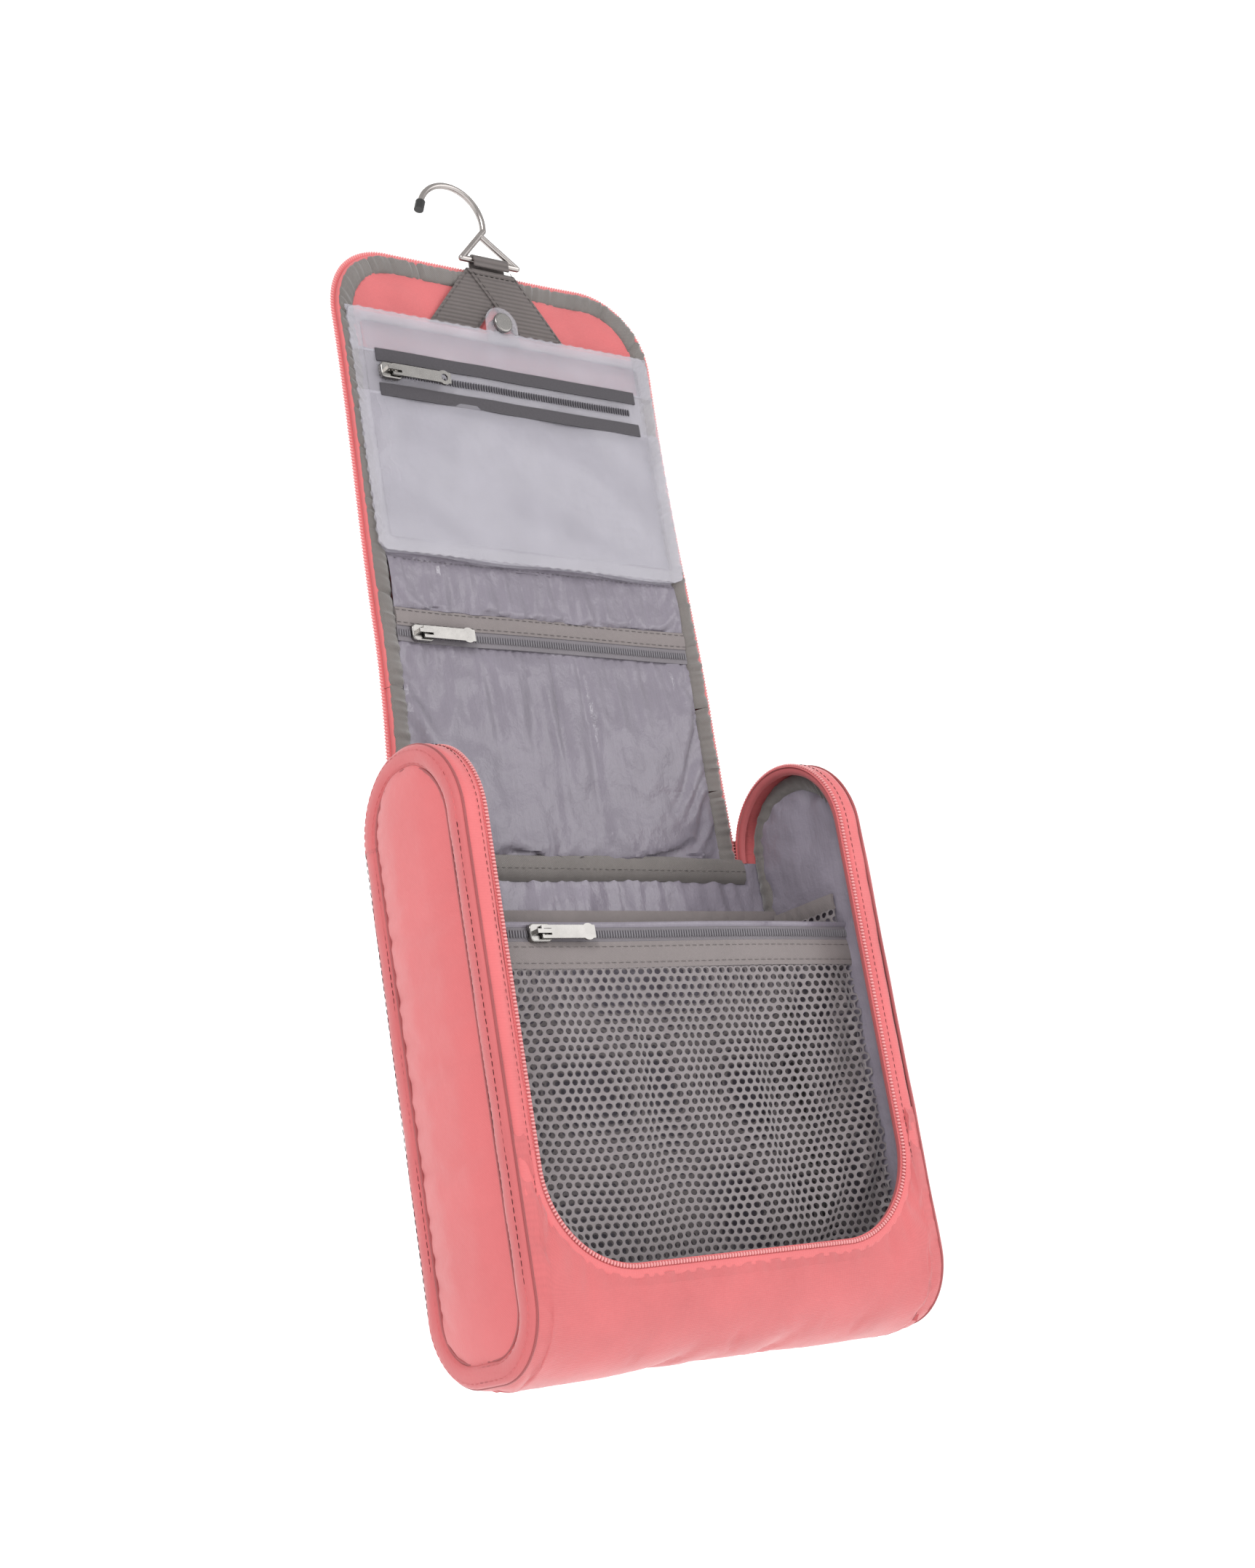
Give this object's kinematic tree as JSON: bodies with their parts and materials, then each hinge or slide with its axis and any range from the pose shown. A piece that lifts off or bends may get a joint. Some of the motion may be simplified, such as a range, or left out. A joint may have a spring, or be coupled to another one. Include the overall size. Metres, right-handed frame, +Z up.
{
  "type": "hanging toiletry bag",
  "caption": "Soft hanging wash bag, open: padded case with a fold-over lid that zips round, mesh divider, pockets, a clear pouch on a press stud and a metal hook on a webbing strap.",
  "frame": {"origin": "the point inside the hook's curve that rests on the rail", "axes": "+X to the right as seen from the front, +Y to the back, +Z up; the case hangs below with its opening to -Y and the lid open above it"},
  "size_m": [0.2, 0.0708, 0.5036],
  "materials": {
    "pink_cloth": "woven polyester, satin",
    "pink_zip": "woven tape with coil teeth",
    "grey_lining": "satin lining",
    "grey_binding": "grosgrain",
    "grey_mesh": "knitted mesh",
    "grey_zip": "woven tape with coil teeth",
    "webbing": "ribbed webbing",
    "metal": "polished nickel",
    "clear_film": "frosted",
    "black_plastic": "matte"
  },
  "bodies": {
    "case": {"gusset_left": "pink_cloth", "gusset_right": "pink_cloth", "gusset_band_left": "pink_cloth", "gusset_band_right": "pink_cloth", "zip_strip_left": "pink_cloth", "zip_strip_right": "pink_cloth", "gusset_lining_left": "grey_lining", "gusset_lining_right": "grey_lining", "gusset_binding_left": "grey_binding", "gusset_binding_right": "grey_binding", "back_panel": "pink_cloth", "bottom_panel": "pink_cloth", "front_panel": "pink_cloth", "case_zip": "pink_zip", "lining_wrap": "grey_lining", "hinge_strip": "pink_cloth", "hinge_binding": "grey_binding", "divider_mesh": "grey_mesh", "divider_band": "grey_lining", "divider_zip": "grey_zip", "divider_strip": "grey_lining", "back_pocket": "grey_mesh", "back_band": "grey_binding", "side_pocket_left": "grey_mesh", "side_pocket_right": "grey_mesh", "side_band_left": "grey_binding", "side_band_right": "grey_binding", "main_sliders": "metal"},
    "fold_low": {"fold_a_shell": "pink_cloth", "fold_a_lining": "grey_lining", "fold_a_zip": "pink_zip"},
    "fold_high": {"fold_b_shell": "pink_cloth", "fold_b_lining": "grey_lining", "fold_b_zip": "pink_zip"},
    "lid": {"lid_shell": "pink_cloth", "lid_zip": "pink_zip", "lid_binding": "grey_binding", "lid_lining": "grey_lining", "lid_upper_panel": "pink_cloth", "lid_pocket": "grey_lining", "lid_pocket_band": "grey_binding", "lid_pocket_zip": "grey_zip", "strap_legs": "webbing", "snap_stud": "metal"},
    "hook": {"strap_loop": "webbing", "hook_wire": "metal", "hook_cap": "black_plastic"},
    "pouch": {"pouch_back": "clear_film", "pouch_front": "clear_film", "pouch_frame": "clear_film", "pouch_zip": "grey_zip", "snap_cap": "metal"},
    "pouch_runner": {"pouch_slider": "metal"},
    "pouch_tab": {"pouch_pull": "metal"},
    "lid_runner": {"lid_slider": "metal"},
    "lid_tab": {"lid_pull": "metal"},
    "divider_runner": {"divider_slider": "metal"},
    "divider_tab": {"divider_pull": "metal"},
    "main_tab_left": {"main_pull_left": "metal"},
    "main_tab_right": {"main_pull_right": "metal"}
  },
  "joints": [
    {"name": "fold_first", "type": "hinge", "parent": "case", "child": "fold_low", "pos_m": [0.016, 0.00505, -0.28734], "axis": [1, 0, 0], "range_deg": [0, 60]},
    {"name": "fold_second", "type": "hinge", "parent": "fold_low", "child": "fold_high", "pos_m": [0.016, 0.00505, -0.25068], "axis": [1, 0, 0], "range_deg": [0, 60]},
    {"name": "fold_third", "type": "hinge", "parent": "fold_high", "child": "lid", "pos_m": [0.016, 0.00505, -0.21402], "axis": [1, 0, 0], "range_deg": [0, 60]},
    {"name": "hook_swing", "type": "hinge", "parent": "lid", "child": "hook", "pos_m": [0.016, -0.0031, -0.0367], "axis": [1, 0, 0], "range_deg": [0, 180]},
    {"name": "pouch_unsnap", "type": "slide", "parent": "lid", "child": "pouch", "axis": [0, 1, 0], "range_m": [-0.04, 0]},
    {"name": "pouch_zip_run", "type": "slide", "parent": "pouch", "child": "pouch_runner", "axis": [1, 0, 0], "range_m": [0, 0.124]},
    {"name": "pouch_pull_flip", "type": "hinge", "parent": "pouch_runner", "child": "pouch_tab", "pos_m": [-0.046, -0.006, -0.096], "axis": [0, 0, -1], "range_deg": [0, 180]},
    {"name": "lid_zip_run", "type": "slide", "parent": "lid", "child": "lid_runner", "axis": [1, 0, 0], "range_m": [0, 0.124]},
    {"name": "lid_pull_flip", "type": "hinge", "parent": "lid_runner", "child": "lid_tab", "pos_m": [-0.046, -0.0013, -0.20862], "axis": [0, 0, -1], "range_deg": [0, 180]},
    {"name": "divider_zip_run", "type": "slide", "parent": "case", "child": "divider_runner", "axis": [1, 0, 0], "range_m": [0, 0.124]},
    {"name": "divider_pull_flip", "type": "hinge", "parent": "divider_runner", "child": "divider_tab", "pos_m": [-0.046, -0.04795, -0.34376], "axis": [0, 0, -1], "range_deg": [0, 180]},
    {"name": "main_pull_flip_left", "type": "hinge", "parent": "case", "child": "main_tab_left", "pos_m": [-0.0721, 0.0096, -0.29476], "axis": [1, 0, 0], "range_deg": [0, 180]},
    {"name": "main_pull_flip_right", "type": "hinge", "parent": "case", "child": "main_tab_right", "pos_m": [0.1041, 0.0096, -0.29476], "axis": [1, 0, 0], "range_deg": [0, 180]}
  ],
  "couplings": [
    {"joint": "fold_second", "follows": "fold_first", "ratio": 1},
    {"joint": "fold_third", "follows": "fold_first", "ratio": 1},
    {"joint": "hook_swing", "follows": "fold_first", "ratio": 3}
  ]
}
